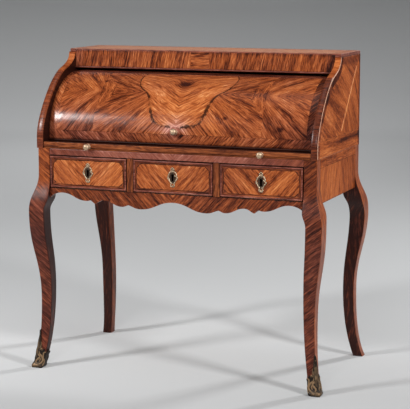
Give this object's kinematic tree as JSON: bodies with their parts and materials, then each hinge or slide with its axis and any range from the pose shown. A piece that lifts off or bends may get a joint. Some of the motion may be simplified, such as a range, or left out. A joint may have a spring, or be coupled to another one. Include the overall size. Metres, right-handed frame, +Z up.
{
  "type": "cylinder desk",
  "caption": "Small veneered cylinder desk on cabriole legs, with a solid cylinder fall, a writing slide, frieze drawers and a nest of pigeonholes.",
  "frame": {"origin": "on the floor, under the middle of the bounding box", "axes": "+Z up, +X to the right of a viewer facing the front, -Y out of the front"},
  "size_m": [0.948, 0.539, 0.98],
  "materials": {
    "rosewood": "polished veneer",
    "kingwood": "polished veneer",
    "oak": "plain",
    "brass": "worn polish",
    "gilt_bronze": "worn gilding",
    "lock_iron": "dull",
    "leather": "waxed"
  },
  "bodies": {
    "carcase": {"back_panel": "oak", "back_rail": "oak", "drawer_dividers": "oak", "drawer_rail": "kingwood", "drawer_runners": "oak", "frieze_lip": "kingwood", "front_apron": "rosewood", "leg_back_left": "kingwood", "leg_back_right": "kingwood", "leg_front_left": "kingwood", "leg_front_right": "kingwood", "nest_back": "oak", "nest_dividers": "oak", "nest_ends": "oak", "nest_floor": "oak", "nest_shelves": "oak", "sabot_left": "gilt_bronze", "sabot_right": "gilt_bronze", "side_panel_left": "kingwood", "side_panel_right": "kingwood", "side_rail_left": "rosewood", "side_rail_right": "rosewood", "slide_bed": "oak", "slide_guides": "oak", "top_board": "rosewood", "top_frieze": "rosewood"},
    "cylinder": {"cylinder_knob": "brass", "cylinder_lip": "kingwood", "cylinder_runner_left": "oak", "cylinder_runner_right": "oak", "cylinder_shell": "rosewood"},
    "slide": {"slide_board": "oak", "slide_knobs": "brass", "slide_leather": "leather", "slide_lipping": "kingwood"},
    "drawer_left": {"drawer_left_bottom": "oak", "drawer_left_box": "oak", "drawer_left_escutcheon": "gilt_bronze", "drawer_left_front": "rosewood", "drawer_left_lock": "lock_iron"},
    "bolt_left": {"drawer_left_bolt": "lock_iron"},
    "nest_drawer_left": {"nest_drawer_left_box": "oak", "nest_drawer_left_knob": "brass"},
    "drawer_centre": {"drawer_centre_bottom": "oak", "drawer_centre_box": "oak", "drawer_centre_escutcheon": "gilt_bronze", "drawer_centre_front": "rosewood", "drawer_centre_lock": "lock_iron"},
    "bolt_centre": {"drawer_centre_bolt": "lock_iron"},
    "nest_drawer_centre": {"nest_drawer_centre_box": "oak", "nest_drawer_centre_knob": "brass"},
    "drawer_right": {"drawer_right_bottom": "oak", "drawer_right_box": "oak", "drawer_right_escutcheon": "gilt_bronze", "drawer_right_front": "rosewood", "drawer_right_lock": "lock_iron"},
    "bolt_right": {"drawer_right_bolt": "lock_iron"},
    "nest_drawer_right": {"nest_drawer_right_box": "oak", "nest_drawer_right_knob": "brass"}
  },
  "joints": [
    {"name": "cylinder_turn", "type": "hinge", "parent": "carcase", "child": "cylinder", "pos_m": [0, -0.007, 0.714], "axis": [-1, 0, 0], "range_deg": [0, 72]},
    {"name": "writing_slide", "type": "slide", "parent": "carcase", "child": "slide", "axis": [0, -1, 0], "range_m": [0, 0.23]},
    {"name": "drawer_left_slide", "type": "slide", "parent": "carcase", "child": "drawer_left", "axis": [0, -1, 0], "range_m": [0, 0.28]},
    {"name": "bolt_left_throw", "type": "slide", "parent": "drawer_left", "child": "bolt_left", "axis": [0, 0, 1], "range_m": [0, 0.006]},
    {"name": "nest_drawer_left_slide", "type": "slide", "parent": "carcase", "child": "nest_drawer_left", "axis": [0, -1, 0], "range_m": [0, 0.095]},
    {"name": "drawer_centre_slide", "type": "slide", "parent": "carcase", "child": "drawer_centre", "axis": [0, -1, 0], "range_m": [0, 0.28]},
    {"name": "bolt_centre_throw", "type": "slide", "parent": "drawer_centre", "child": "bolt_centre", "axis": [0, 0, 1], "range_m": [0, 0.006]},
    {"name": "nest_drawer_centre_slide", "type": "slide", "parent": "carcase", "child": "nest_drawer_centre", "axis": [0, -1, 0], "range_m": [0, 0.095]},
    {"name": "drawer_right_slide", "type": "slide", "parent": "carcase", "child": "drawer_right", "axis": [0, -1, 0], "range_m": [0, 0.28]},
    {"name": "bolt_right_throw", "type": "slide", "parent": "drawer_right", "child": "bolt_right", "axis": [0, 0, 1], "range_m": [0, 0.006]},
    {"name": "nest_drawer_right_slide", "type": "slide", "parent": "carcase", "child": "nest_drawer_right", "axis": [0, -1, 0], "range_m": [0, 0.095]}
  ]
}
